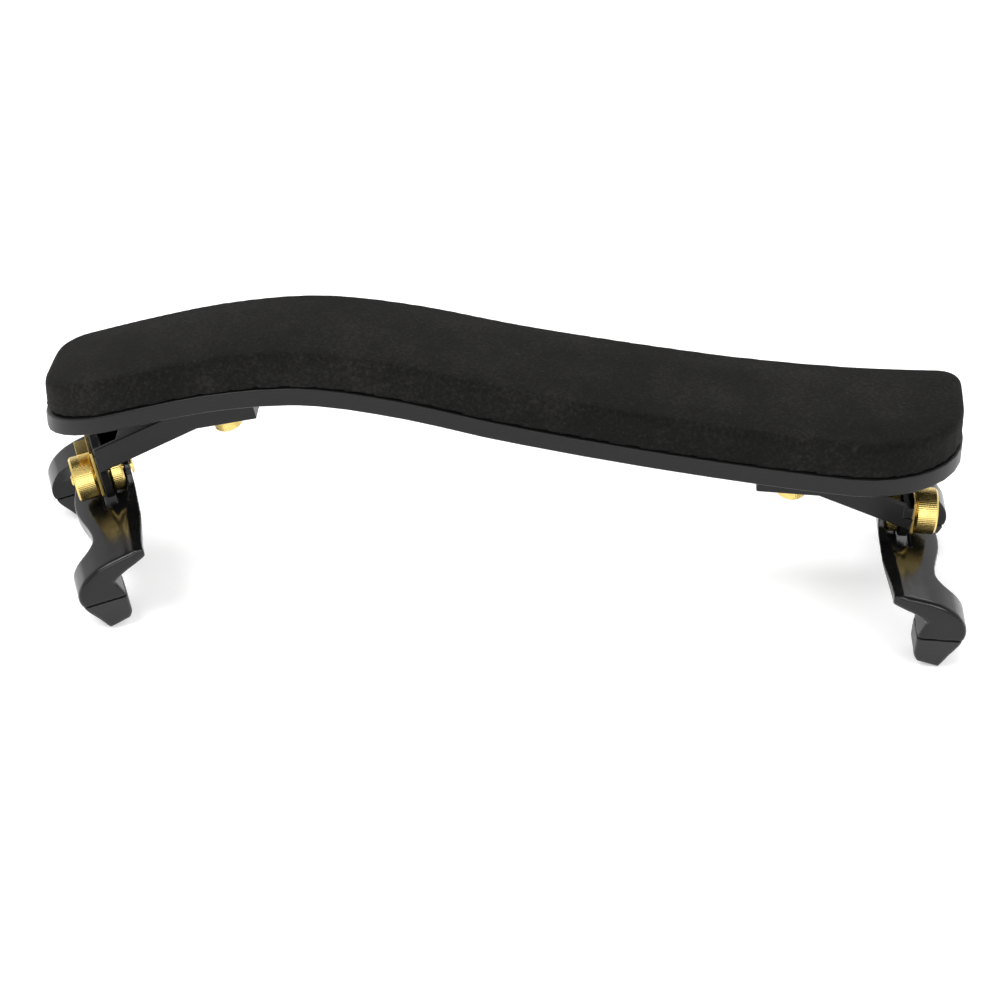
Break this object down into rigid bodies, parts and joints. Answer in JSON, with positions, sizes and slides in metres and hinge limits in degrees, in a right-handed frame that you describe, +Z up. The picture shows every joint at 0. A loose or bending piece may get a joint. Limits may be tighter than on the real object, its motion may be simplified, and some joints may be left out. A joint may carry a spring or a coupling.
{
  "type": "violin shoulder rest",
  "caption": "Waved violin shoulder rest: foam-padded base on drooping arms, with forked legs that adjust in height, tilt, swivel and spacing.",
  "frame": {"origin": "on the floor under the centre of the whole box, the four rubber feet standing on Z = 0", "axes": "+X along the rest towards its right end in the picture, -Y towards the viewer, +Z up"},
  "size_m": [0.2628, 0.0738, 0.0791],
  "materials": {
    "base_plastic": "satin moulded",
    "leg_plastic": "glossy moulded",
    "foam": "fine suede-like foam",
    "brass": "turned and knurled",
    "rubber": "matte"
  },
  "bodies": {
    "base": {"base_plate": "base_plastic", "foam_pad": "foam", "left_threaded_insert": "brass", "right_threaded_insert": "brass"},
    "left_clamp_screw": {"left_clamp_screw": "brass"},
    "left_washer": {"left_clamp_washer": "brass"},
    "left_arm": {"left_arm": "base_plastic", "left_slot_plate": "brass"},
    "left_carriage": {"left_guide_bush": "brass"},
    "left_fork": {"left_leg_fork": "leg_plastic", "left_stud": "brass", "left_front_rubber_sleeve": "rubber", "left_rear_rubber_sleeve": "rubber"},
    "left_lock_nut": {"left_lock_nut": "brass"},
    "left_thumb_wheel": {"left_thumb_wheel": "brass"},
    "right_clamp_screw": {"right_clamp_screw": "brass"},
    "right_washer": {"right_clamp_washer": "brass"},
    "right_arm": {"right_arm": "base_plastic", "right_slot_plate": "brass"},
    "right_carriage": {"right_guide_bush": "brass"},
    "right_fork": {"right_leg_fork": "leg_plastic", "right_stud": "brass", "right_front_rubber_sleeve": "rubber", "right_rear_rubber_sleeve": "rubber"},
    "right_lock_nut": {"right_lock_nut": "brass"},
    "right_thumb_wheel": {"right_thumb_wheel": "brass"}
  },
  "joints": [
    {"name": "left_clamp_screw_spin", "type": "hinge", "parent": "base", "child": "left_clamp_screw", "pos_m": [-0.07428, 0.00047, 0.05973], "axis": [-0.2195, 0, 0.9756], "continuous": true},
    {"name": "left_arm_swivel", "type": "hinge", "parent": "base", "child": "left_washer", "pos_m": [-0.07428, 0.00047, 0.05973], "axis": [-0.2195, 0, 0.9756], "range_deg": [-8, 8]},
    {"name": "left_arm_length", "type": "slide", "parent": "left_washer", "child": "left_arm", "axis": [-0.9746, -0.0453, -0.2193], "range_m": [-0.002, 0.0035]},
    {"name": "left_height", "type": "slide", "parent": "left_arm", "child": "left_carriage", "axis": [-0.1621, -0.0622, 0.9848], "range_m": [0, 0.002]},
    {"name": "left_fork_tilt", "type": "hinge", "parent": "left_carriage", "child": "left_fork", "pos_m": [-0.10738, -0.00103, 0.02981], "axis": [-0.9194, -0.3529, -0.1736], "range_deg": [-10, 10]},
    {"name": "left_lock_nut_spin", "type": "hinge", "parent": "left_fork", "child": "left_lock_nut", "pos_m": [-0.10738, -0.00103, 0.02981], "axis": [-0.9194, -0.3529, -0.1736], "continuous": true},
    {"name": "left_thumb_wheel_spin", "type": "hinge", "parent": "left_fork", "child": "left_thumb_wheel", "pos_m": [-0.10738, -0.00103, 0.02981], "axis": [-0.9194, -0.3529, -0.1736], "continuous": true},
    {"name": "right_clamp_screw_spin", "type": "hinge", "parent": "base", "child": "right_clamp_screw", "pos_m": [0.08412, 0.00047, 0.04738], "axis": [0.068, 0, 0.9977], "continuous": true},
    {"name": "right_arm_swivel", "type": "hinge", "parent": "base", "child": "right_washer", "pos_m": [0.08412, 0.00047, 0.04738], "axis": [0.068, 0, 0.9977], "range_deg": [-8, 8]},
    {"name": "right_arm_length", "type": "slide", "parent": "right_washer", "child": "right_arm", "axis": [0.9955, 0.0659, -0.0679], "range_m": [-0.002, 0.0035]},
    {"name": "right_height", "type": "slide", "parent": "right_arm", "child": "right_carriage", "axis": [0.0523, 0.0026, 0.9986], "range_m": [0, 0.002]},
    {"name": "right_fork_tilt", "type": "hinge", "parent": "right_carriage", "child": "right_fork", "pos_m": [0.11442, 0.00247, 0.02891], "axis": [0.9974, 0.0488, -0.0523], "range_deg": [-10, 10]},
    {"name": "right_lock_nut_spin", "type": "hinge", "parent": "right_fork", "child": "right_lock_nut", "pos_m": [0.11442, 0.00247, 0.02891], "axis": [0.9974, 0.0488, -0.0523], "continuous": true},
    {"name": "right_thumb_wheel_spin", "type": "hinge", "parent": "right_fork", "child": "right_thumb_wheel", "pos_m": [0.11442, 0.00247, 0.02891], "axis": [0.9974, 0.0488, -0.0523], "continuous": true}
  ]
}
